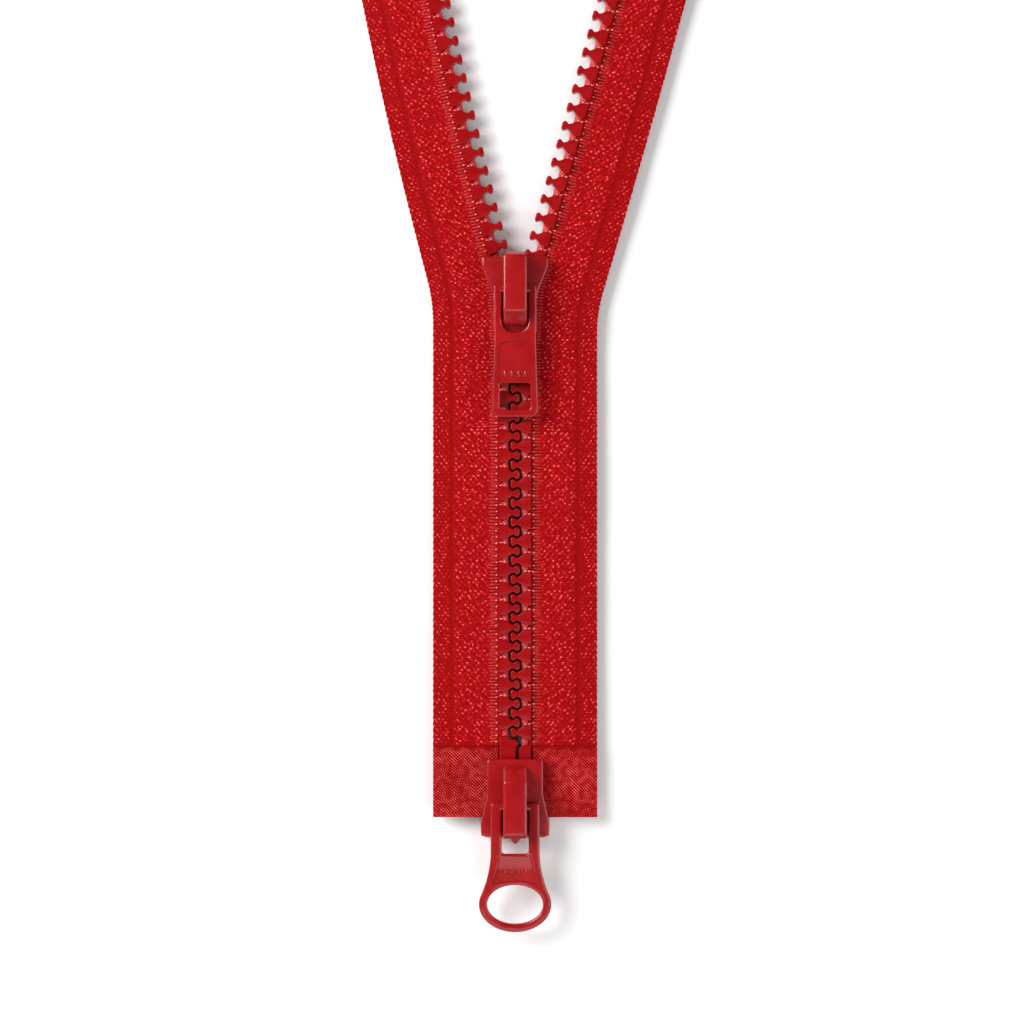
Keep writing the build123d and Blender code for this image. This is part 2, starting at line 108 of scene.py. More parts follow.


# %% [markdown]
# ## Dyed woven polyester
# Zipper tape is warp-knitted or woven from bright polyester yarn. Each loop stands up a little and
# catches a glint, so the cloth reads as a dark red ground with lighter beads about 0.8 mm apart.
# The beads are real bumps of the mesh. The material adds what is finer: the twist of the yarn, and, from the
# same cell pattern in the tape's own flat coordinates, painted shade in the gaps and a painted highlight on
# the tops.

# %% Tape material
def woven_polyester():
    material, output = new_material("dyed_woven_polyester")
    flat = add_node(material, "ShaderNodeUVMap", uv_map="flat_mm")
    yarn = add_node(material, "ShaderNodeTexNoise", {"Vector": flat.outputs[0]},
                    noise_dimensions="2D", scale=3.2, detail=3.0, roughness=0.6)
    height = add_node(material, "ShaderNodeAttribute", attribute_name="loop_height")
    twist = add_node(material, "ShaderNodeMapRange", {"Value": yarn.outputs["Fac"]})
    twist.inputs["From Min"].default_value = 0.3
    twist.inputs["From Max"].default_value = 0.7
    twist.inputs["To Min"].default_value = -0.10
    twist.inputs["To Max"].default_value = 0.10
    tops = add_node(material, "ShaderNodeMath", {0: height.outputs["Fac"], 1: twist.outputs[0]},
                    operation="ADD")
    # Painted shade and painted highlight: low places between loops are coloured dark, loop tops pale pink.
    shade = add_node(material, "ShaderNodeValToRGB", {"Fac": tops.outputs[0]})
    ramp = shade.color_ramp
    ramp.elements[0].position = 0.08
    ramp.elements[0].color = linear("8c0003")
    ramp.elements[1].position = 0.95
    ramp.elements[1].color = linear("ff8a86")
    for place, colour in ((0.28, "a40207"), (0.52, "c41a1f")):
        ramp.elements.new(place).color = linear(colour)
    bump = add_node(material, "ShaderNodeBump", {"Height": tops.outputs[0]},
                    strength=0.35, distance=0.00008)
    shader = add_node(material, "ShaderNodeBsdfPrincipled",
                      {"Base Color": shade.outputs["Color"], "Normal": bump.outputs[0]},
                      roughness=0.75, IOR=1.54, metallic=0.0)
    shader.inputs["Specular IOR Level"].default_value = 0.08
    return finish(material, output, shader)


tape_material = woven_polyester()
print("made", tape_material.name)

# %% [markdown]
# ## Sewing yarn
# The knitted-in stitches beside the chain and the wraps round the cord are the same polyester, but smoother,
# because the filaments lie parallel there. Where the yarn turns up into a loop it catches the light and
# looks nearly pink, so the loops have their own copy of the material, painted lighter: a painted highlight.

# %% Yarn material
def polyester_yarn(name, low, high):
    material, output = new_material(name)
    place = add_node(material, "ShaderNodeTexCoord")
    twist = add_node(material, "ShaderNodeTexNoise", {"Vector": place.outputs["Object"]},
                     scale=4200.0, detail=2.0)
    shade = add_node(material, "ShaderNodeValToRGB", {"Fac": twist.outputs["Fac"]})
    shade.color_ramp.elements[0].position = 0.35
    shade.color_ramp.elements[0].color = linear(low)
    shade.color_ramp.elements[1].position = 0.75
    shade.color_ramp.elements[1].color = linear(high)
    bump = add_node(material, "ShaderNodeBump", {"Height": twist.outputs["Fac"]},
                    strength=0.4, distance=0.00004)
    shader = add_node(material, "ShaderNodeBsdfPrincipled",
                      {"Base Color": shade.outputs["Color"], "Normal": bump.outputs[0]},
                      roughness=0.45, IOR=1.54)
    return finish(material, output, shader)


stitch_material = polyester_yarn("polyester_stitch_yarn", "9c0308", "cf2c2e")
# The same yarn with a painted highlight in its colour, for the loops and knots.
yarn_highlight_material = polyester_yarn("polyester_yarn_painted_highlight", "e04a48", "ffb4ae")
print("made", stitch_material.name, "and", yarn_highlight_material.name)

# %% [markdown]
# ## Braided cord
# The bead at the tape's edge is a braid. Its crossing strands are finer than the view can show, so
# the braid is drawn at 0.5 mm to the stitch, by two slanted waves.

# %% Cord material
def braided_cord():
    material, output = new_material("braided_polyester_cord")
    place = add_node(material, "ShaderNodeTexCoord")
    strands = []
    for slant in (0.7, -0.7):
        turned = add_node(material, "ShaderNodeMapping", {"Vector": place.outputs["Object"]})
        turned.inputs["Rotation"].default_value = (0.0, 0.0, slant)
        strands.append(add_node(material, "ShaderNodeTexWave", {"Vector": turned.outputs[0]},
                                bands_direction="Y", scale=640.0, distortion=0.6))
    braid = add_node(material, "ShaderNodeMath",
                     {0: strands[0].outputs["Fac"], 1: strands[1].outputs["Fac"]}, operation="MAXIMUM")
    shade = add_node(material, "ShaderNodeValToRGB", {"Fac": braid.outputs[0]})
    shade.color_ramp.elements[0].color = linear("8e0a10")
    shade.color_ramp.elements[1].color = linear("d53639")
    bump = add_node(material, "ShaderNodeBump", {"Height": braid.outputs[0]},
                    strength=0.7, distance=0.00008)
    shader = add_node(material, "ShaderNodeBsdfPrincipled",
                      {"Base Color": shade.outputs["Color"], "Normal": bump.outputs[0]},
                      roughness=0.6, IOR=1.54)
    return finish(material, output, shader)


cord_material = braided_cord()
print("made", cord_material.name)

# %% [markdown]
# ## Moulded acetal
# The teeth are injected straight onto the cord in dyed acetal. It is smooth and slightly waxy, with a soft
# broad highlight and faint flow marks.

# %% Tooth material
def moulded_acetal():
    material, output = new_material("moulded_acetal")
    place = add_node(material, "ShaderNodeTexCoord")
    flow = add_node(material, "ShaderNodeTexNoise", {"Vector": place.outputs["Object"]},
                    scale=420.0, detail=3.0, roughness=0.55)
    shade = add_node(material, "ShaderNodeValToRGB", {"Fac": flow.outputs["Fac"]})
    shade.color_ramp.elements[0].position = 0.3
    shade.color_ramp.elements[0].color = linear("8e0205")
    shade.color_ramp.elements[1].position = 0.75
    shade.color_ramp.elements[1].color = linear("a0050b")
    gloss = add_node(material, "ShaderNodeMapRange", {"Value": flow.outputs["Fac"]})
    gloss.inputs["To Min"].default_value = 0.22
    gloss.inputs["To Max"].default_value = 0.34
    skin = add_node(material, "ShaderNodeTexNoise", {"Vector": place.outputs["Object"]},
                    scale=2600.0, detail=1.0)
    bump = add_node(material, "ShaderNodeBump", {"Height": skin.outputs["Fac"]},
                    strength=0.15, distance=0.00003)
    shader = add_node(material, "ShaderNodeBsdfPrincipled",
                      {"Base Color": shade.outputs["Color"], "Roughness": gloss.outputs[0],
                       "Normal": bump.outputs[0]}, IOR=1.48)
    shader.inputs["Specular IOR Level"].default_value = 0.35
    return finish(material, output, shader)


tooth_material = moulded_acetal()
print("made", tooth_material.name)

# %% [markdown]
# ## Painted die-cast zinc
# The sliders are cast in zinc, tumbled and sprayed with thick red enamel. The enamel rounds the
# edges, pools in corners and dries with a slight orange peel about 0.8 mm across, under a clear
# glossy skin. On the metal of the casting it looks deeper and cooler than the dyed cloth.

# %% Slider material
def painted_zinc():
    material, output = new_material("painted_die_cast_zinc")
    place = add_node(material, "ShaderNodeTexCoord")
    pools = add_node(material, "ShaderNodeTexNoise", {"Vector": place.outputs["Object"]},
                     scale=230.0, detail=3.0, roughness=0.5)
    shade = add_node(material, "ShaderNodeValToRGB", {"Fac": pools.outputs["Fac"]})
    shade.color_ramp.elements[0].position = 0.3
    shade.color_ramp.elements[0].color = linear("940309")
    shade.color_ramp.elements[1].position = 0.8
    shade.color_ramp.elements[1].color = linear("a80a10")
    peel = add_node(material, "ShaderNodeTexNoise", {"Vector": place.outputs["Object"]},
                    scale=1250.0, detail=2.0)
    bump = add_node(material, "ShaderNodeBump", {"Height": peel.outputs["Fac"]},
                    strength=0.35, distance=0.00008)
    gloss = add_node(material, "ShaderNodeMapRange", {"Value": pools.outputs["Fac"]})
    gloss.inputs["To Min"].default_value = 0.20
    gloss.inputs["To Max"].default_value = 0.34
    shader = add_node(material, "ShaderNodeBsdfPrincipled",
                      {"Base Color": shade.outputs["Color"], "Roughness": gloss.outputs[0],
                       "Normal": bump.outputs[0]}, IOR=1.5)
    shader.inputs["Coat Weight"].default_value = 0.35
    shader.inputs["Coat Roughness"].default_value = 0.08
    return finish(material, output, shader)


zinc_material = painted_zinc()
print("made", zinc_material.name)

# %% [markdown]
# ## Welded end film
# A thin film is welded over the cut end of each tape, so that it doesn't fray and is stiff enough to push
# the pin home. It shows the weave of a fine gauze pressed into it, as slanting ridges about 0.42 mm apart.
# Its colour holds painted shade in the grooves and a painted highlight on the ridges, made stronger or
# weaker in patches.

# %% Film material
def welded_film():
    material, output = new_material("welded_end_film")
    flat = add_node(material, "ShaderNodeUVMap", uv_map="flat_mm")
    height = add_node(material, "ShaderNodeAttribute", attribute_name="loop_height")
    patch_noise = add_node(material, "ShaderNodeTexNoise", {"Vector": flat.outputs[0]},
                     noise_dimensions="2D", scale=0.9, detail=3.0)
    patchy_contrast = add_node(material, "ShaderNodeMapRange", {"Value": patch_noise.outputs["Fac"]})
    patchy_contrast.inputs["From Min"].default_value = 0.35
    patchy_contrast.inputs["From Max"].default_value = 0.65
    patchy_contrast.inputs["To Min"].default_value = 0.72
    patchy_contrast.inputs["To Max"].default_value = 1.02
    # Painted shade and painted highlight: grooves dark, ridge tops pale pink, with the contrast varied in
    # patches.
    gauze = add_node(material, "ShaderNodeMath", {0: height.outputs["Fac"], 1: patchy_contrast.outputs[0]},
                     operation="MULTIPLY")
    shade = add_node(material, "ShaderNodeValToRGB", {"Fac": gauze.outputs[0]})
    shade.color_ramp.elements[0].position = 0.15
    shade.color_ramp.elements[0].color = linear("7e0002")
    shade.color_ramp.elements[1].position = 0.95
    shade.color_ramp.elements[1].color = linear("ff7672")
    shade.color_ramp.elements.new(0.5).color = linear("aa0509")
    shader = add_node(material, "ShaderNodeBsdfPrincipled", {"Base Color": shade.outputs["Color"]},
                      roughness=0.55, IOR=1.5)
    shader.inputs["Specular IOR Level"].default_value = 0.08
    return finish(material, output, shader)


film_material = welded_film()
print("made", film_material.name)

# %% [markdown]
# ## Spring strip
# The lock is a leaf of rolled spring steel, bright, with fine lines along its length.

# %% Spring material
def rolled_spring_steel():
    material, output = new_material("rolled_spring_steel")
    place = add_node(material, "ShaderNodeTexCoord")
    stretched = add_node(material, "ShaderNodeMapping", {"Vector": place.outputs["Object"]})
    stretched.inputs["Scale"].default_value = (6000.0, 300.0, 300.0)
    lines = add_node(material, "ShaderNodeTexNoise", {"Vector": stretched.outputs[0]}, scale=1.0)
    gloss = add_node(material, "ShaderNodeMapRange", {"Value": lines.outputs["Fac"]})
    gloss.inputs["To Min"].default_value = 0.22
    gloss.inputs["To Max"].default_value = 0.40
    shader = add_node(material, "ShaderNodeBsdfPrincipled", {"Roughness": gloss.outputs[0]},
                      metallic=1.0)
    shader.inputs["Base Color"].default_value = linear("b9b7b2")
    return finish(material, output, shader)


spring_material = rolled_spring_steel()
print("made", spring_material.name)

# %% [markdown]
# ## Camera and light
# The zipper lies flat and is looked at from straight above, from far enough that nothing leans. The
# light is one broad soft sheet from the upper left and two weaker, wider ones from the right and the
# front to fill, so that only edges glint and flat faces stay deep. The floor is nearly white paper.

# %% Camera, floor and lights
view_centre = Vector((-0.6, 54.95, 2.6)) * MM
view_width = 197.4 * MM
lens = 100.0
sensor = 36.0
bpy.ops.object.select_all(action="DESELECT")
bpy.ops.object.camera_add(location=view_centre + Vector((0, 0, view_width * lens / sensor)))
camera = bpy.context.object
camera.data.lens = lens
camera.data.sensor_width = sensor
camera.data.clip_start = 0.01
bpy.context.scene.camera = camera
bpy.context.scene.view_settings.view_transform = "Standard"


def soft_light(name, place, size, power):
    """A square area light that faces the middle of the zipper."""
    bpy.ops.object.light_add(type="AREA", location=place)
    light = bpy.context.object
    light.name = name
    light.data.shape = "SQUARE"
    light.data.size = size
    light.data.energy = power
    aim = view_centre - Vector(place)
    light.rotation_euler = aim.to_track_quat("-Z", "Y").to_euler()
    return light


soft_light("window_light", (-0.52, 0.36, 0.46), 0.50, 8.0)
soft_light("fill_light", (0.58, -0.10, 0.50), 0.8, 4.0)
soft_light("front_light", (-0.10, -0.60, 0.55), 0.8, 2.6)

world = bpy.data.worlds.new("even_sky")
world.use_nodes = True
world.node_tree.nodes["Background"].inputs["Color"].default_value = (1.0, 1.0, 1.0, 1.0)
world.node_tree.nodes["Background"].inputs["Strength"].default_value = 0.08
bpy.context.scene.world = world

bpy.ops.mesh.primitive_plane_add(size=3.0, location=(0, 0, -0.00005))
floor = bpy.context.object
floor.name = "paper_floor"


def white_paper():
    material, output = new_material("white_paper")
    place = add_node(material, "ShaderNodeTexCoord")
    fibre = add_node(material, "ShaderNodeTexNoise", {"Vector": place.outputs["Object"]}, scale=900.0)
    bump = add_node(material, "ShaderNodeBump", {"Height": fibre.outputs["Fac"]},
                    strength=0.05, distance=0.00005)
    shader = add_node(material, "ShaderNodeBsdfPrincipled", {"Normal": bump.outputs[0]}, roughness=0.9)
    shader.inputs["Base Color"].default_value = linear("fafafa")
    return finish(material, output, shader)


floor.data.materials.append(white_paper())
print("camera height, m:", round(camera.location.z, 4))

# %% [markdown]
# ## The shape of a tape
# Each tape follows its row of teeth: straight up to the corner in the upper slider, then out along
# the open leg in a long gentle curve. The joints of the fixed model say where the corner is and how
# far the leg turns. Real cloth can't turn at a point, so the turn is spread over 6 mm each way, which
# the slider hides at the teeth and the eye sees at the outer edge.

# %% The line that a row of teeth follows
cord_low, cord_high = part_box("right_cord_mid")
bead_x = (cord_low.x + cord_high.x) / 2 / MM
chain_z = (cord_low.z + cord_high.z) / 2 / MM
tape_low, tape_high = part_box("right_tape_mid")
tape_outer = tape_high.x / MM
tape_inner = tape_low.x / MM
tape_thickness = (tape_high.z - tape_low.z) / MM
lower_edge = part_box("right_tape_end")[0].y / MM
leg_length = 92.0
leg_straight = 14.0
leg_radius = {"left": 800.0, "right": 2200.0}
turn_reach = 6.0


def joint_height(name):
    """The height of a joint along the chain, in millimetres."""
    return joints[name]["pos_m"][1] / MM


def corner_of(side):
    return joint_height(f"{side}_leg_turn")


def leg_turn(side):
    """How far the leg leans outwards at the corner, in radians."""
    return radians(max(abs(v) for v in joints[f"{side}_leg_turn"]["range_deg"]))


def smooth(t):
    t = np.clip(t, 0.0, 1.0)
    return t * t * (3.0 - 2.0 * t)


def row_line(side):
    """Samples along the row: distance, sideways place, height and lean."""
    corner = corner_of(side)
    step = 0.1
    along = np.arange(lower_edge - 4.0, corner + leg_length + 4.0, step)
    ramp = np.clip((along - corner + turn_reach) / (2 * turn_reach), 0.0, 1.0)
    lean = leg_turn(side) * ramp
    lean = lean - np.maximum(along - corner - leg_straight, 0.0) / leg_radius[side]
    x = np.concatenate([[0.0], np.cumsum(np.sin(lean) * step)[:-1]])
    y = along[0] + np.concatenate([[0.0], np.cumsum(np.cos(lean) * step)[:-1]])
    return along, x, y, lean


lines = {side: row_line(side) for side in SIDES}


def on_tape(side, along, out):
    """Places on a tape, from distance along the row and distance out from the chain's centre."""
    samples, x, y, lean = lines[side]
    turn = np.interp(along, samples, lean)
    from_bead = out - bead_x
    place_x = bead_x + np.interp(along, samples, x) + from_bead * np.cos(turn)
    place_y = np.interp(along, samples, y) - from_bead * np.sin(turn)
    return SIDES[side] * place_x, place_y, turn


print("bead", round(bead_x, 3), "outer edge", round(tape_outer, 3), "thickness", round(tape_thickness, 3))
for side in SIDES:
    print(side, "corner", round(corner_of(side), 2), "turn", round(leg_turn(side) * 180 / pi, 2))

# %% [markdown]
# ## The surface of the cloth
# Seen close, the tape has bands. Beside the teeth the yarn runs across in short stitches; then comes
# a ground of small loops in slanting rows; 12 mm out a narrow furrow runs the whole length; and the
# outer edge is a selvedge of bigger loops standing in columns. One formula gives the height of all
# of it, and it fades out where the film is welded down flat.

# %% Height of the cloth
ground_pitch = (1.08, 1.20)
loop_size = (0.21, 0.30)
loop_height = 0.10
rib_pitch = 0.64
rib_end = 5.6
furrow_at = 12.15
furrow_width = 0.45
selvedge_pitch = (0.90, 1.25)
film_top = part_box("right_film_front")[1].y / MM


def scatter(i, j, number):
    """A number from 0 to 1 that looks random but is always the same for one loop of the cloth."""
    value = np.sin(i * 12.9898 + j * 78.233 + number * 37.719) * 43758.5453
    return value - np.floor(value)


def bead_field(out, along, pitch, size, start, wander):
    """Rows of small slanted beads, every other row half a pitch aside; 0 between them, 1 on top."""
    field = np.zeros_like(out)
    row_pitch = pitch[1] / 2
    row = np.round(along / row_pitch)
    for step_up in (-2, -1, 0, 1, 2):
        j = row + step_up
        shift = 0.5 * np.mod(j, 2)
        column = np.round((out - start) / pitch[0] - shift)
        for step_out in (-1, 0, 1):
            i = column + step_out
            centre_out = start + (i + shift) * pitch[0] + wander * (scatter(i, j, 1) - 0.5)
            centre_along = j * row_pitch + wander * (scatter(i, j, 2) - 0.5)
            slant = (scatter(i, j, 3) - 0.25) * 2.2
            dx = out - centre_out
            dy = along - centre_along
            u = dx * np.cos(slant) + dy * np.sin(slant)
            v = dy * np.cos(slant) - dx * np.sin(slant)
            strength = 0.35 + 0.65 * scatter(i, j, 4)
            field = np.maximum(field, strength * np.exp(-((v / size[0]) ** 2) - (u / size[1]) ** 2))
    return field


def loops_at(along, out):
    """Knitted loops, 0 in the gaps to 1 on top."""
    ground = bead_field(out, along, ground_pitch, loop_size, 4.2, 0.42)
    squiggle = bead_field(out + 0.3, along + 0.2, (1.3, 1.1), (0.13, 0.42), 4.0, 0.8)
    ground = np.maximum(ground, 0.62 * squiggle)
    ribs = (0.5 + 0.5 * np.cos(2 * pi * along / rib_pitch + 0.8 * np.sin(along * 0.9))) ** 2
    near = 1 - smooth((out - rib_end + 1.4) / 1.6)
    edge = smooth((out - furrow_at - 0.2) / 0.5)
    selvedge = bead_field(out, along, selvedge_pitch, (0.17, 0.30), furrow_at + 0.7, 0.25)
    inner = ground * (1 - 0.75 * near) + 0.5 * ribs * near
    return inner * (1 - edge) + selvedge * edge


def edge_droop(out):
    """How far the tape sinks towards its outer edge."""
    return -0.45 * smooth((out - 9.0) / 7.0)


def cloth_height(side, along, out):
    """Height of the upper face above the tape's plain surface, and the loops alone."""
    welded = smooth((film_top + 0.3 - along) / 0.5)
    furrow = np.exp(-(((out - furrow_at) / furrow_width) ** 2)) * (1 - 0.6 * welded)
    loops = loops_at(along, out) * (1 - 0.9 * welded) * (1 - 0.8 * furrow)
    away = smooth((out - 7.0) / 5.0)
    sway = 0.10 * np.sin(along * 0.11 + SIDES[side]) + 0.05 * np.sin(along * 0.31 + 2.0 * SIDES[side])
    pucker_place = corner_of(side) - 3.0
    pucker = 0.35 * np.exp(-(((along - pucker_place) / 4.0) ** 2)) * smooth((out - 7.0) / 6.0)
    droop = edge_droop(out) * (1 - 0.8 * welded)
    height = loop_height * (loops - 0.75) - 0.10 * furrow + away * sway * (1 - welded) + pucker + droop
    height = height - 0.06 * welded
    return height, loops


# %% [markdown]
# ## Weaving the tapes
# Each tape is one strip of cloth, but it bends in three places when the sliders move: at the pins,
# where the lower part is opened by the upper slider, and at the corner. A piece of cloth here can
# bend across one joint, so the strip is laid in three lengths that meet edge to edge with the same
# points. A grid is added, its points are carried onto the tape by the formulas above, and Solidify
# gives it its thickness downwards.

# %% Lay the tapes
grid_step = 0.2
cloth_thickness = tape_thickness - 0.1


def deselect():
    """Leave edit mode and select nothing."""
    if bpy.context.object and bpy.context.object.mode != "OBJECT":
        bpy.ops.object.mode_set(mode="OBJECT")
    bpy.ops.object.select_all(action="DESELECT")


def make_active(piece):
    deselect()
    piece.select_set(True)
    bpy.context.view_layer.objects.active = piece


def set_points(piece, points):
    piece.data.vertices.foreach_set("co", np.asarray(points, np.float32).ravel())
    piece.data.update()


def set_flat_map(piece, flat):
    """A UV map in millimetres, one pair for each vertex."""
    loops = np.zeros(len(piece.data.loops), np.int32)
    piece.data.loops.foreach_get("vertex_index", loops)
    layer = piece.data.uv_layers.new(name="flat_mm")
    layer.data.foreach_set("uv", flat[loops].astype(np.float32).ravel())
    for other in [l for l in piece.data.uv_layers if l.name != "flat_mm"]:
        piece.data.uv_layers.remove(other)


def flat_grid(name, step, inner, low, high):
    """A grid piece, and for each of its points how far out and how far along it lies."""
    across = int(round((tape_outer - inner) / step))
    along = int(round((high - low) / step))
    deselect()
    bpy.ops.mesh.primitive_grid_add(x_subdivisions=across, y_subdivisions=along, size=2)
    piece = bpy.context.object
    piece.name = name
    grid = np.zeros(len(piece.data.vertices) * 3, np.float32)
    piece.data.vertices.foreach_get("co", grid)
    grid = grid.reshape(-1, 3).astype(float)
    out = inner + (grid[:, 0] * 0.5 + 0.5) * (tape_outer - inner)
    far = low + (grid[:, 1] * 0.5 + 0.5) * (high - low)
    return piece, out, far


def thicken(piece, loops, flip, thickness, smooth_angle):
    """Store the loops' heights for the material, then give the sheet its thickness."""
    heights = piece.data.attributes.new("loop_height", "FLOAT", "POINT")
    heights.data.foreach_set("value", loops.astype(np.float32))
    make_active(piece)
    if flip:
        bpy.ops.object.mode_set(mode="EDIT")
        bpy.ops.mesh.select_all(action="SELECT")
        bpy.ops.mesh.flip_normals()
        bpy.ops.object.mode_set(mode="OBJECT")
    bpy.ops.object.modifier_add(type="SOLIDIFY")
    piece.modifiers[-1].thickness = thickness * MM
    piece.modifiers[-1].offset = -1.0
    bpy.ops.object.modifier_apply(modifier=piece.modifiers[-1].name)
    bpy.ops.object.shade_smooth_by_angle(angle=radians(smooth_angle))


def lay_tape(name, side, low, high):
    """One length of tape as a dense sheet with its loops, furrow and thickness."""
    tape, out, far = flat_grid(name, grid_step, tape_inner, low, high)
    scallop = 0.05 * np.sin(2 * pi * far / selvedge_pitch[1]) * smooth((out - tape_outer + 0.5) / 0.5)
    x, y, turn = on_tape(side, far, out + scallop)
    lift, loops = cloth_height(side, far, out)
    z = chain_z + tape_thickness / 2 + lift
    set_points(tape, np.stack([x, y, z], 1) * MM)
    set_flat_map(tape, np.stack([out, far], 1))
    thicken(tape, loops, SIDES[side] < 0, cloth_thickness, 55)
    tape.data.materials.append(tape_material)
    return tape


def stretches(side):
    """The three lengths: name, lower and upper end, the two bodies and where the bend lies."""
    end_joint = joint_height(f"{side}_end_spread")
    run_joint = joint_height(f"{side}_unzip")
    corner = corner_of(side)
    first_seam = (end_joint + run_joint) / 2
    second_seam = (run_joint + corner) / 2
    return [
        ("lower", lower_edge, first_seam, "closed_chain", f"{side}_end", end_joint + 4.0, end_joint - 1.0),
        ("middle", first_seam, second_seam, "closed_chain", f"{side}_run", run_joint - 5.0, run_joint + 5.0),
        ("upper", second_seam, corner + leg_length, f"{side}_run", f"{side}_leg",
         corner - turn_reach, corner + turn_reach),
    ]


def bend_with(piece):
    """Bake the piece's placement into its mesh."""
    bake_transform(piece)


replaced = {
    "lower": ["tape_end"],
    "middle": ["tape_mid"],
    "upper": ["tape_run", "tape_leg"],
}
for side in SIDES:
    for plan in stretches(side):
        part, low, high = plan[:3]
        tape = lay_tape(f"{side}_woven_tape_{part}", side, low, high)
        bend_with(tape)
        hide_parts(*[f"{side}_{node}" for node in replaced[part]])
        print(tape.name, len(tape.data.polygons), "faces")

# %% [markdown]
# ## End films
# A film welded over each end of the tape shows the gauze that was pressed into it, as fine slanting
# ridges about 0.42 mm apart, each broken into a row of beads. The sheet is so stiff that it turns
# with the pin in one piece.

# %% Lay the films
film_step = 0.13
film_thickness = 0.05
ridge_pitch = 0.42
film_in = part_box("right_film_front")[0].x / MM


def gauze_height(x, y):
    """Slanting ridges with beads on them, from 0 to 1; x and y in millimetres."""
    across = (x + y) / np.sqrt(2) + 0.05 * np.sin(1.3 * y) + 0.04 * np.sin(1.9 * x)
    along = (x - y) / np.sqrt(2)
    ridge = 0.5 + 0.5 * np.cos(2 * pi * across / ridge_pitch)
    beads = 0.5 + 0.5 * np.cos(2 * pi * along / (1.25 * ridge_pitch) + pi * np.round(across / ridge_pitch))
    share = 0.35 + 0.3 * np.sin(0.35 * y + 0.5) * np.sin(0.4 * x)
    return ridge * (1 - share + share * beads)


def lay_film(side, face):
    """A fine sheet on one face of the tape's end; face is 1 in front and -1 behind."""
    name = f"{side}_end_film_{'front' if face > 0 else 'back'}"
    film, out, far = flat_grid(name, film_step, film_in, lower_edge, film_top)
    x = SIDES[side] * out
    gauze = gauze_height(x, far)
    fade = smooth((film_top - far + 0.25 * np.sin(2.1 * out) - 0.1) / 1.0)
    droop = edge_droop(out) * 0.2
    z = chain_z + droop + face * (tape_thickness / 2 - 0.02 + 0.07 * fade * gauze)
    set_points(film, np.stack([x, far, z], 1) * MM)
    set_flat_map(film, np.stack([out, far], 1))
    thicken(film, gauze * (0.4 + 0.6 * fade), SIDES[side] * face < 0, film_thickness, 60)
    film.data.materials.append(film_material)
    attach(film, f"{side}_end")
    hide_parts(f"{side}_film_{'front' if face > 0 else 'back'}")
    return film


for side in SIDES:
    for face in (1, -1):
        film = lay_film(side, face)
        print(film.name, len(film.data.polygons), "faces")

# %% [markdown]
# ## Stitches beside the chain
# Just outside the teeth the yarn that holds the cord crosses the tape in short raised stitches, and every
# second one ends in a loop against the teeth, coloured with a painted highlight. One stitch is modelled, a
# capsule of a few dozen faces, and copied along the row, each copy a little different.

# %% Copy one small piece many times
def copies(name, source, places):
    """One mesh of many copies of source. Each place is a 4 by 4 matrix in metres."""
    base = np.zeros(len(source.data.vertices) * 3, np.float32)
    source.data.vertices.foreach_get("co", base)
    base = base.reshape(-1, 3).astype(float)
    faces = [tuple(face.vertices) for face in source.data.polygons]
    matrices = np.array([np.array(place) for place in places])
    points = np.einsum("nij,vj->nvi", matrices[:, :3, :3], base) + matrices[:, None, :3, 3]
    count = len(base)
    all_faces = [tuple(v + n * count for v in face) for n in range(len(places)) for face in faces]
    mesh = bpy.data.meshes.new(name)
    mesh.from_pydata(points.reshape(-1, 3).tolist(), [], all_faces)
    piece = bpy.data.objects.new(name, mesh)
    bpy.context.scene.collection.objects.link(piece)
    make_active(piece)
    bpy.ops.object.shade_smooth()
    return piece


def capsule(segments, rings):
    deselect()
    bpy.ops.mesh.primitive_uv_sphere_add(segments=segments, ring_count=rings, radius=1.0)
    return bpy.context.object


def placed(side, along, out, height, size, twist):
    """A matrix for a small piece on the tape: its x runs outwards, turned by twist."""
    x, y, turn = on_tape(side, along, out)
    spin = Matrix.Rotation(-SIDES[side] * float(turn) + twist, 4, "Z")
    scale = Matrix.Diagonal((*[s * MM for s in size], 1.0))
    return Matrix.Translation(Vector((float(x), float(y), height)) * MM) @ spin @ scale


# %% Stitches and loops
stitch_pitch = 0.61
stitch_seed = 7
rng = np.random.default_rng(stitch_seed)
stitch = capsule(6, 6)
surface_z = chain_z + tape_thickness / 2
for side in SIDES:
    for plan in stretches(side):
        part, low, high = plan[:3]
        places = []
        loop_places = []
        start = max(low, film_top + 0.4)
        for n in range(int((high - start) / stitch_pitch)):
            along = start + (n + 0.5) * stitch_pitch
            long = 0.7 + 0.3 * rng.random()
            places.append(placed(side, along, 3.3 + long, surface_z - 0.04, (long, 0.17, 0.10),
                                 0.35 * (rng.random() - 0.5)))
            if n % 2 == 0:
                loop_places.append(placed(side, along, 3.50 + 0.12 * rng.random(), surface_z + 0.02,
                                          (0.26, 0.18, 0.18), 0.6 * (rng.random() - 0.5)))
        stitches = copies(f"{side}_edge_stitches_{part}", stitch, places)
        stitches.data.materials.append(stitch_material)
        # The loops take the yarn copy with a painted highlight.
        loops = copies(f"{side}_edge_loops_{part}", stitch, loop_places)
        loops.data.materials.append(yarn_highlight_material)
        for piece in (stitches, loops):
            bend_with(piece)
        print(stitches.name, len(places), "stitches")
bpy.data.objects.remove(stitch)

# %% [markdown]
# ## Helpers for hard parts
# Castings and mouldings start as an outline. A disc primitive with as many points as the outline is
# laid on it and extruded, and its edges are rounded afterwards. Edges and faces are chosen by where
# they are, never by number.

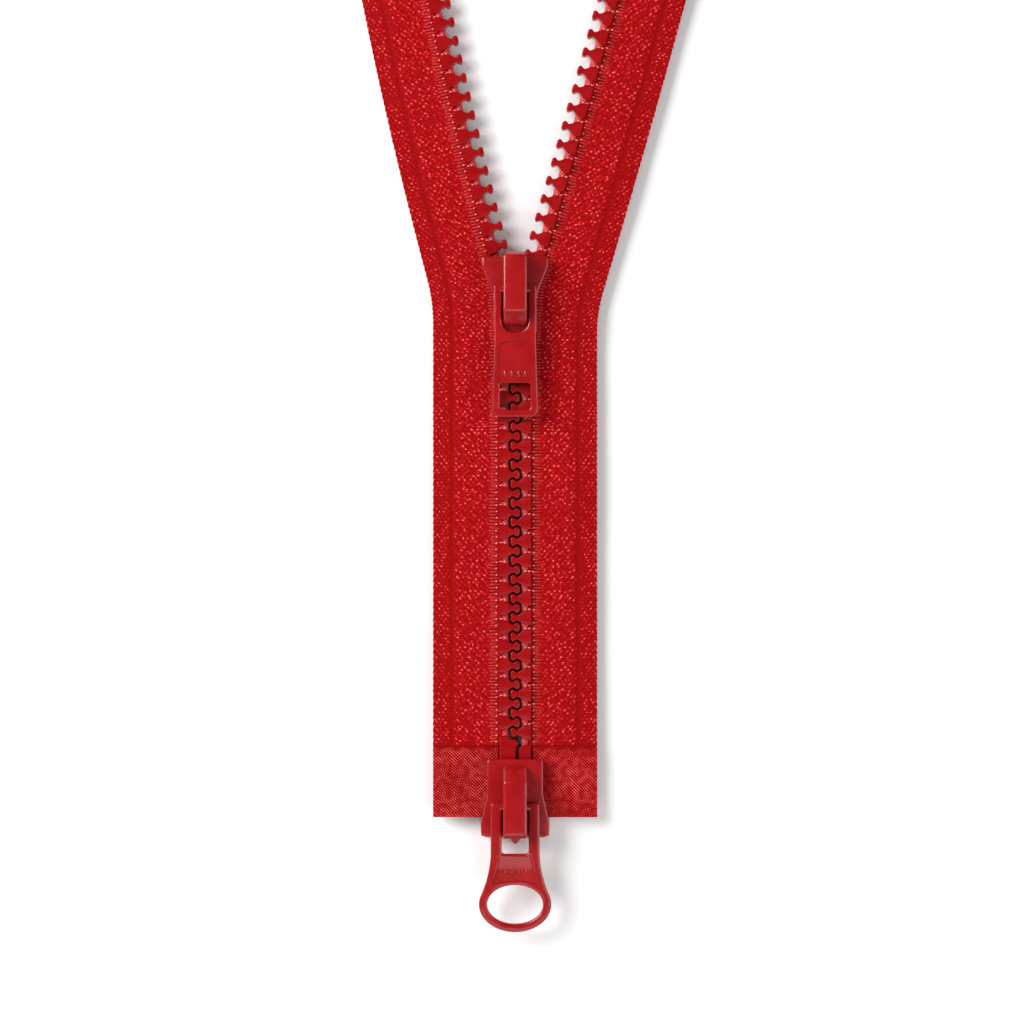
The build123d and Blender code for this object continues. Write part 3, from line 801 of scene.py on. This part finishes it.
# %% Outlines, prisms and choices
def rounded(corners, steps=5):
    """An outline from corners (x, y, radius), each radius drawn as a short arc."""
    points = []
    for i, (x, y, radius) in enumerate(corners):
        here = Vector((x, y))
        if radius == 0:
            points.append(here)
            continue
        to_last = (Vector(corners[i - 1][:2]) - here).normalized()
        to_next = (Vector(corners[(i + 1) % len(corners)][:2]) - here).normalized()
        half = to_last.angle(to_next) / 2
        centre = here + (to_last + to_next).normalized() * radius / np.sin(half)
        start = here + to_last * radius / np.tan(half) - centre
        end = here + to_next * radius / np.tan(half) - centre
        for k in range(steps + 1):
            points.append(centre + start.lerp(end, k / steps).normalized() * radius)
    return points


def both_sides(half):
    """A right half outline and its mirror image, as one list of corners in order."""
    return half + [(-x, *rest) for x, *rest in reversed(half) if x > 0]


def even_normals(piece):
    """Turn every face of a closed shell outwards."""
    make_active(piece)
    bpy.ops.object.mode_set(mode="EDIT")
    bpy.ops.mesh.select_all(action="SELECT")
    bpy.ops.mesh.normals_make_consistent(inside=False)
    bpy.ops.object.mode_set(mode="OBJECT")


def prism(name, outline, low, high):
    """A solid of that outline between two heights, in millimetres."""
    deselect()
    bpy.ops.mesh.primitive_circle_add(vertices=len(outline), radius=1.0, fill_type="NGON")
    piece = bpy.context.object
    piece.name = name
    set_points(piece, [(x * MM, y * MM, low * MM) for x, y in outline])
    bpy.ops.object.mode_set(mode="EDIT")
    bpy.ops.mesh.select_all(action="SELECT")
    bpy.ops.mesh.extrude_region_move(TRANSFORM_OT_translate={"value": (0, 0, (high - low) * MM)})
    even_normals(piece)
    return piece


def choose(piece, kind, test):
    """Enter edit mode with the edges or faces whose middle, in millimetres, passes the test."""
    make_active(piece)
    bpy.ops.object.mode_set(mode="EDIT")
    bpy.ops.mesh.select_mode(type=kind)
    bpy.ops.mesh.select_all(action="DESELECT")
    bpy.ops.object.mode_set(mode="OBJECT")
    mesh = piece.data
    items = mesh.edges if kind == "EDGE" else mesh.polygons
    for item in items:
        corners = [mesh.vertices[v].co / MM for v in item.vertices]
        item.select = bool(test(sum(corners, Vector()) / len(corners), corners))
    bpy.ops.object.mode_set(mode="EDIT")


def apply_modifier(piece, kind, **settings):
    make_active(piece)
    bpy.ops.object.modifier_add(type=kind)
    modifier = piece.modifiers[-1]
    for name, value in settings.items():
        setattr(modifier, name, value)
    bpy.ops.object.modifier_apply(modifier=modifier.name)


def round_edges(piece, width, segments=3, angle=35):
    """Round every edge sharper than the angle."""
    apply_modifier(piece, "BEVEL", width=width * MM, segments=segments, limit_method="ANGLE",
                   angle_limit=radians(angle), use_clamp_overlap=False)


def cut_out(piece, cutter):
    """Take the cutter's shape away from the piece."""
    apply_modifier(piece, "BOOLEAN", operation="DIFFERENCE", object=cutter, solver="EXACT")
    bpy.data.objects.remove(cutter)


def joined(name, parts):
    """Several shells as one piece."""
    deselect()
    for part in parts:
        part.select_set(True)
    bpy.context.view_layer.objects.active = parts[0]
    bpy.ops.object.join()
    parts[0].name = name
    return parts[0]


def finished(piece, material, body, smooth_angle=40):
    """Even normals, smooth shading, a material and the body that it rides on."""
    even_normals(piece)
    bpy.ops.object.shade_smooth_by_angle(angle=radians(smooth_angle))
    piece.data.materials.clear()
    piece.data.materials.append(material)
    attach(piece, body)
    return piece


# %% [markdown]
# ## Moulded teeth
# One tooth is a square block outside and a round head inside, joined by a neck, so that the head of
# one row clicks between two necks of the other. It is moulded over the cord, 2.6 mm thick, with
# rounded edges. It is modelled once and copied along the rows.

# %% One tooth
tooth_pitch = 3.675
first_tooth = 12.55
tooth_thickness = 2.6
closed_teeth = 23
leg_teeth = 20
block_start = 1.72
block_half = 1.34
neck_half = 0.47
head_half = 0.88
head_reach = 0.86
half_tooth = [
    (3.07, block_half, 0.12), (block_start, block_half, 0.22), (0.66, 0.56, 0.30),
    (0.32, neck_half, 0.16), (-0.20, head_half - 0.04, 0.25), (-0.60, head_half, 0.26),
    (-head_reach, 0.46, 0.20),
]
tooth_outline = rounded([(x - bead_x, y, r) for x, y, r in half_tooth]
                        + [(x - bead_x, -y, r) for x, y, r in reversed(half_tooth)], steps=2)
tooth = prism("tooth", tooth_outline, -tooth_thickness / 2, tooth_thickness / 2)
choose(tooth, "EDGE", lambda middle, ends: middle.x > 1.2 and abs(middle.z) > 1.2
       and abs(ends[0].x - ends[1].x) < 0.01)
bpy.ops.mesh.bevel(offset=0.55 * MM, segments=1)
bpy.ops.object.mode_set(mode="OBJECT")
round_edges(tooth, 0.13, segments=2, angle=40)
print("faces in one tooth:", len(tooth.data.polygons))


def tooth_place(side, along):
    """Where a tooth stands on its row: x outwards from the bead."""
    if along < corner_of(side):
        x, y, turn = SIDES[side] * bead_x, along, 0.0
    else:
        x, y, turn = leg_place(side, along - corner_of(side))
    facing = Matrix.Rotation(-SIDES[side] * turn, 4, "Z")
    if SIDES[side] < 0:
        facing = facing @ Matrix.Rotation(pi, 4, "Y")
    return Matrix.Translation(Vector((x, y, chain_z)) * MM) @ facing


def leg_place(side, along):
    """The bead of the open leg, straight at first and then in a long arc, as the teeth were set."""
    start = leg_turn(side)
    straight = min(along, leg_straight)
    turn = start - max(along - leg_straight, 0.0) / leg_radius[side]
    radius = leg_radius[side]
    x = straight * np.sin(start) + radius * (np.cos(turn) - np.cos(start))
    y = straight * np.cos(start) + radius * (np.sin(start) - np.sin(turn))
    return SIDES[side] * (bead_x + x), corner_of(side) + y, turn


def rows(side):
    """Distances along one row of all its teeth: closed and staying, closed and opened, open."""
    offset = tooth_pitch / 2 if side == "left" else 0.0
    every = [first_tooth + offset + n * tooth_pitch for n in range(closed_teeth + leg_teeth)]
    run = joint_height(f"{side}_unzip")
    corner = corner_of(side)
    return {
        "mid": ([y for y in every if y < run], "closed_chain"),
        "run": ([y for y in every if run <= y < corner], f"{side}_run"),
        "leg": ([y for y in every if y >= corner], f"{side}_leg"),
    }


# %% Copy the tooth along both rows
for side in SIDES:
    for part, (alongs, body) in rows(side).items():
        row = copies(f"{side}_row_{part}", tooth, [tooth_place(side, along) for along in alongs])
        finished(row, tooth_material, body, 50)
        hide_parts(f"{side}_teeth_{part}")
        print(row.name, len(alongs), "teeth")
bpy.data.objects.remove(tooth)

# %% [markdown]
# ## Glints of yarn between the teeth
# Between two blocks the cord shows, wrapped with yarn that makes one small knot at the edge of every tooth.
# The knots take the yarn with a painted highlight, so each one is a painted glint.

# %% Knots on the cord
knot = capsule(8, 6)
for side in SIDES:
    for part, (alongs, body) in rows(side).items():
        places = []
        for along in alongs:
            base = tooth_place(side, along)
            if SIDES[side] < 0:
                base = base @ Matrix.Rotation(pi, 4, "Y")
            aside = SIDES[side]
            for reach, size in ((0.15, (0.24, 0.19, 0.18)), (0.85, (0.30, 0.16, 0.14))):
                spot = Vector((aside * reach, block_half + 0.24, 0.66)) * MM
                turn = Matrix.Rotation(0.5 * (rng.random() - 0.5), 4, "Z")
                places.append(base @ Matrix.Translation(spot) @ turn
                              @ Matrix.Diagonal((*[v * MM for v in size], 1.0)))
        # Painted glint: the knots are coloured with the yarn's painted highlight copy.
        glinting_knots = copies(f"{side}_knots_{part}", knot, places)
        finished(glinting_knots, yarn_highlight_material, body)
bpy.data.objects.remove(knot)

# %% [markdown]
# ## Slider castings
# A slider is two plates held apart by a divider at the wide end and by low rails along both sides,
# which press the rows together as it passes. The upper one has a narrow tail, the lower one is
# broader. Tumbling and thick enamel leave every edge rounded.

# %% Slider bodies
plate = 1.1
channel_height = 3.1
top_face = plate + channel_height + plate
half_length = 7.5
slider_bodies = {
    "upper": {"corners": [(1.25, 7.5, 0.2), (6.40, 7.5, 0.6), (6.35, 5.6, 2.0), (4.25, 0.2, 3.0),
                          (4.20, -7.5, 0.8)],
              "nose": 8.1},
    "lower": {"corners": [(1.25, 7.5, 0.2), (6.60, 7.5, 1.2), (6.60, 4.6, 2.0), (5.40, -0.8, 3.0),
                          (5.40, -7.5, 0.6)],
              "nose": 9.1},
}
slider_place = {
    "upper": Matrix.Translation((0, joints["upper_pull_flip"]["pos_m"][1] - 1.1 * MM, 0)),
    "lower": Matrix.Rotation(pi, 4, "Z"),
}


def slider_plate(which, low, high):
    shape = slider_bodies[which]
    outline = rounded(both_sides([(0, shape["nose"], 0.5)] + shape["corners"]))
    piece = prism("plate", outline, low, high)
    round_edges(piece, 0.32, segments=3, angle=50)
    return piece


def slider_rail(which, side, low, high):
    """The low wall along one side of a plate, following the Y of the channel inside."""
    corners = slider_bodies[which]["corners"][1:]
    outer = [(side * (x - 0.06), y * 0.985, min(r, 0.35) if abs(y) > 7 else r) for x, y, r in corners]
    inner = [(side * 3.4, -half_length * 0.985, 0), (side * 3.4, -0.6, 0), (side * 5.8, 7.3, 0)]
    return prism("rail", rounded(outer + inner, steps=4), low, high)


for which in ("upper", "lower"):
    parts = [slider_plate(which, 0.0, plate), slider_plate(which, plate + channel_height, top_face)]
    for side in (-1, 1):
        parts.append(slider_rail(which, side, plate - 0.2, plate + 0.9))
        parts.append(slider_rail(which, side, plate + channel_height - 0.9, plate + channel_height + 0.2))
    divider = rounded([(0.12, 5.2, 0.1), (0.7, 7.45, 0.1), (-0.7, 7.45, 0.1), (-0.12, 5.2, 0.1)], steps=2)
    parts.append(prism("divider", divider, plate - 0.2, plate + channel_height + 0.2))
    body = joined(f"{which}_casting", parts)
    body.data.transform(slider_place[which])
    finished(body, zinc_material, f"{which}_slider", 45)
    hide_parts(f"{which}_slider_body")
    print(body.name, len(body.data.polygons), "faces")

# %% [markdown]
# ## Crowns
# The crown is the cap over the lock. It is cast as a hollow block with a sloping front, pressed onto
# two lugs, and notched low on both sides for the pull's bar. Its side is drawn first, notch included,
# and pulled out to the full width. The floor and the notch's inside are opened, and Solidify turns
# what is left into a wall.

# %% Crown covers
crown_half = 2.25
crown_top = 9.4
crown_wall = 0.6
bar_radius = 0.75
notch_half = bar_radius + 0.08
pivot_z = joints["upper_pull_flip"]["pos_m"][2] / MM
crown_span = {"upper": (-5.75, 8.2, 1.1), "lower": (-6.2, 7.4, 1.5)}


def crown_cover(which):
    front, back, pivot = crown_span[which]
    arc = [(pivot + notch_half * np.cos(a), pivot_z + notch_half * np.sin(a), 0)
           for a in np.linspace(0, pi, 9)]
    side_view = rounded([
        (front, top_face, 0), (front, 6.5, 0.7), (front + 2.65, crown_top, 0.9),
        (back - 0.75, crown_top, 0.9), (back, 8.2, 0.7), (back, 6.2, 0), (back - 0.5, top_face, 0),
        (pivot + notch_half, top_face, 0), *arc, (pivot - notch_half, top_face, 0),
    ], steps=5)
    cover = prism(f"{which}_cap", side_view, -crown_half, crown_half)
    stand = Matrix(((0, 0, 1, 0), (1, 0, 0, 0), (0, 1, 0, 0), (0, 0, 0, 1)))
    cover.data.transform(stand)
    choose(cover, "EDGE", lambda middle, ends: abs(abs(middle.x) - crown_half) < 0.01
           and (middle.z > 6.3 and ((middle - Vector((middle.x, pivot, pivot_z))).length > notch_half + 0.1)
                or middle.y > back - 0.05 or middle.y < front + 0.05))
    bpy.ops.mesh.bevel(offset=0.42 * MM, segments=4)
    bpy.ops.object.mode_set(mode="OBJECT")
    choose(cover, "FACE", lambda middle, ends: abs(middle.x) < 0.05
           and (middle.z < top_face + 0.05
                or (middle - Vector((0, pivot, pivot_z))).length < notch_half + 0.02
                or (abs(middle.y - pivot) < notch_half + 0.02 and middle.z < pivot_z)))
    bpy.ops.mesh.delete(type="FACE")
    bpy.ops.object.mode_set(mode="OBJECT")
    apply_modifier(cover, "SOLIDIFY", thickness=crown_wall * MM, offset=-1.0)
    cover.data.transform(slider_place[which])
    finished(cover, zinc_material, f"{which}_slider", 40)
    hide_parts(f"{which}_crown")
    return cover


for which in crown_span:
    cover = crown_cover(which)
    print(cover.name, len(cover.data.polygons), "faces")

# %% [markdown]
# ## Pulls
# The pulls are cast flat, 1.3 mm thick. The upper one is a long tab with a square slot for a cord or a
# ribbon and a sunk panel on both faces. The lower one is a ring for a finger, with a sunk web between its
# arms. In the panels stand a few plain raised bars that give a grip. The panels are cut with slightly
# sloping sides, the draft that lets a casting leave its mould.

# %% Cutting and raising on both faces
pull_half = 0.65
panel_depth = 0.25
panel_draft = 0.30


def tapered(name, outline, low, high, spread):
    """A prism whose upper end is wider by spread all round."""
    piece = prism(name, outline, low, high)
    choose(piece, "FACE", lambda middle, ends: abs(middle.z - high) < 0.001 and len(ends) == len(outline))
    centre_x = sum(x for x, y in outline) / len(outline)
    centre_y = sum(y for x, y in outline) / len(outline)
    width = max(x for x, y in outline) - min(x for x, y in outline)
    length = max(y for x, y in outline) - min(y for x, y in outline)
    bpy.ops.transform.resize(value=(1 + 2 * spread / width, 1 + 2 * spread / length, 1),
                             center_override=(centre_x * MM, centre_y * MM, high * MM))
    bpy.ops.object.mode_set(mode="OBJECT")
    return piece


def turned_over(piece):
    """The same cutter for the other face."""
    piece.data.transform(Matrix.Diagonal((1, 1, -1, 1)))
    even_normals(piece)
    return piece


def sink_panels(pull, outline):
    """Sink the same panel into both faces."""
    floor_z = pull_half - panel_depth
    cut_out(pull, tapered("panel", outline, floor_z, pull_half + 0.05, panel_draft))
    cut_out(pull, turned_over(tapered("panel", outline, floor_z, pull_half + 0.05, panel_draft)))


def grip_bars(y, count=4, spacing=1.3, size=(0.26, 0.75)):
    """Rounded raised bars in a row, on both faces."""
    bars = []
    for face in (-1, 1):
        for n in range(count):
            x = (n - (count - 1) / 2) * spacing
            bar = capsule(12, 8)
            bar.data.transform(Matrix.Diagonal((size[0] * MM, size[1] * MM, 0.2 * MM, 1)))
            bar.data.transform(Matrix.Translation(Vector((x, y, face * (pull_half - panel_depth))) * MM))
            bars.append(bar)
    return bars


def pull_bar(reach):
    """The round bar that the pull turns on, along X."""
    deselect()
    bpy.ops.mesh.primitive_cylinder_add(vertices=32, radius=bar_radius * MM, depth=2 * reach * MM,
                                        rotation=(0, pi / 2, 0))
    bpy.ops.object.transform_apply(location=True, rotation=True, scale=True)
    return bpy.context.object


def hang(pull, which, tilt):
    """Put the pull on its pivot, its free end sloping down to rest."""
    pivot = Vector(joints[f"{which}_pull_flip"]["pos_m"])
    pull.data.transform(Matrix.Translation(pivot) @ Matrix.Rotation(radians(tilt), 4, "X"))
    finished(pull, zinc_material, f"{which}_pull_tab", 40)
    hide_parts(f"{which}_pull")
    print(pull.name, len(pull.data.polygons), "faces")


# %% Long tab of the upper slider
window_half = 2.58
tab = prism("tab", rounded(both_sides([(4.1, 0.75, 0.35), (4.0, -9.0, 0), (4.45, -24.45, 1.3)]), steps=8),
            -pull_half, pull_half)
tab_window = rounded(both_sides([(window_half, 3.0, 0), (window_half, -8.2, 2.1)]), steps=8)
cut_out(tab, prism("window", tab_window, -2, 2))
cut_out(tab, prism("slot", rounded(both_sides([(2.93, -17.95, 0.5), (2.93, -23.05, 0.5)])), -2, 2))
round_edges(tab, 0.26, segments=3, angle=50)
sink_panels(tab, both_sides([(3.05, -17.45), (3.05, -10.75), (2.75, -10.45), (1.9, -10.15),
                             (1.0, -9.98), (0.0, -9.93)]))
tab = joined("upper_tab", [tab, pull_bar(window_half + 0.4)] + grip_bars(-16.2))
hang(tab, "upper", 3.0)

# %% Ring of the lower slider
arm_half = 4.7
ring_y = -18.9
ring_half_width = 6.97
ring_half_height = 5.4
hole_half_width = 5.35
hole_half_height = 3.8


def arc_through(first, middle, last, count):
    """Points on the circle through three points, without the first."""
    (ax, ay), (bx, by), (cx, cy) = first, middle, last
    d = 2 * (ax * (by - cy) + bx * (cy - ay) + cx * (ay - by))
    a2, b2, c2 = ax ** 2 + ay ** 2, bx ** 2 + by ** 2, cx ** 2 + cy ** 2
    ux = (a2 * (by - cy) + b2 * (cy - ay) + c2 * (ay - by)) / d
    uy = (a2 * (cx - bx) + b2 * (ax - cx) + c2 * (bx - ax)) / d
    radius = np.hypot(ax - ux, ay - uy)
    start = np.arctan2(ay - uy, ax - ux) % (2 * pi)
    end = np.arctan2(cy - uy, cx - ux) % (2 * pi)
    turns = np.linspace(start, end, count + 1)[1:]
    return [(ux + radius * np.cos(a), uy + radius * np.sin(a)) for a in turns]


ring_start = np.arcsin(1.9 / ring_half_height)
right = [(arm_half, 0.75), (arm_half, -9.2)]
right += arc_through((arm_half, -9.2), (5.28, -13.3), (6.52, -17.0), 12)
right += [(ring_half_width * np.cos(a), ring_y + ring_half_height * np.sin(a))
          for a in np.linspace(ring_start, -pi / 2, 26)[1:]]
left_half = [(-x, y) for x, y in reversed(right[:-1])]
ring = prism("ring", right + left_half, -pull_half, pull_half)
cut_out(ring, prism("window", rounded(both_sides([(window_half, 3.0, 0), (window_half, -9.1, 0.6)])), -2, 2))
hole = [(hole_half_width * np.cos(a), ring_y + hole_half_height * np.sin(a))
        for a in np.linspace(0, 2 * pi, 65)[:-1]]
cut_out(ring, prism("hole", hole, -2, 2))
round_edges(ring, 0.42, segments=4, angle=50)
sink_panels(ring, both_sides([(2.85, -9.75), (3.4, -12.3), (4.15, -14.6), (3.3, -14.75), (1.7, -14.35),
                              (0, -14.2)]))
ring = joined("lower_ring", [ring, pull_bar(window_half + 0.4)] + grip_bars(-12.3))
hang(ring, "lower", 4.8)

# %% [markdown]
# ## Finish of the parts that keep their shape
# The stops, pins, cords and lock springs already have the right shape, so they only get their
# material.

# %% Give the fixed parts their materials
finishes = {
    "cord": cord_material,
    "stop": tooth_material,
    "pin": tooth_material,
    "spring": spring_material,
}
for name, node in frame["nodes"].items():
    for word, material in finishes.items():
        if word in name:
            node.data.materials.clear()
            node.data.materials.append(material)
